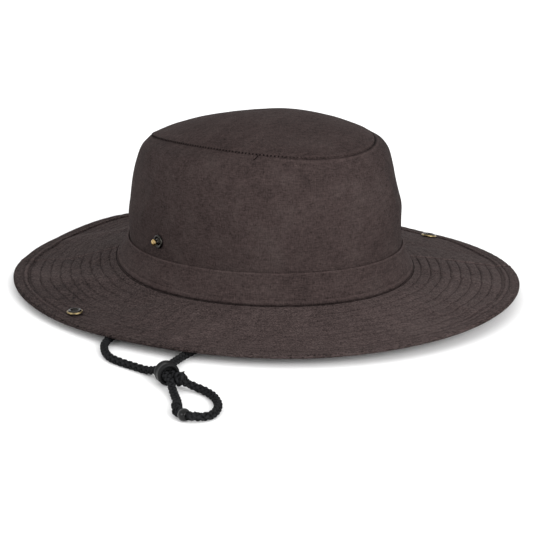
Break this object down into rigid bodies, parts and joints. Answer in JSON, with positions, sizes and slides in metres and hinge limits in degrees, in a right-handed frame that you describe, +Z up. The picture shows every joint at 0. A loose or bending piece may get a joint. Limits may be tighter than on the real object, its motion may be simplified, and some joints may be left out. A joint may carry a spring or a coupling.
{
  "type": "oilskin hat",
  "caption": "Wide-brimmed waxed cotton bush hat with a domed oval crown, a stitched brim that snaps up at the sides and a looped chin cord with a slide.",
  "frame": {"origin": "on the surface the hat lies on, under the middle of its brim", "axes": "+Z up through the crown, +Y to the back of the hat along its long axis, +X to the wearer's left"},
  "size_m": [0.3425, 0.3524, 0.1121],
  "materials": {
    "oilskin": "waxed cotton",
    "oilskin_tip": "waxed cotton",
    "oilskin_band": "waxed cotton",
    "oilskin_brim": "waxed cotton",
    "antique_brass": "aged",
    "cord_braid": "braided",
    "black_plastic": "semi-gloss"
  },
  "bodies": {
    "root": {"crown_side": "oilskin", "crown_tip": "oilskin_tip", "crown_band": "oilskin_band", "brim": "oilskin_brim", "snap_stud_left": "antique_brass", "snap_stud_right": "antique_brass", "snap_post_left": "antique_brass", "snap_post_right": "antique_brass", "snap_socket_left": "antique_brass", "snap_socket_right": "antique_brass", "snap_cap_left": "antique_brass", "snap_cap_right": "antique_brass", "cord_tab_left": "oilskin", "cord_tab_right": "oilskin", "chin_cord": "cord_braid", "cord_toggle": "black_plastic", "cord_bead": "black_plastic"}
  },
  "joints": []
}
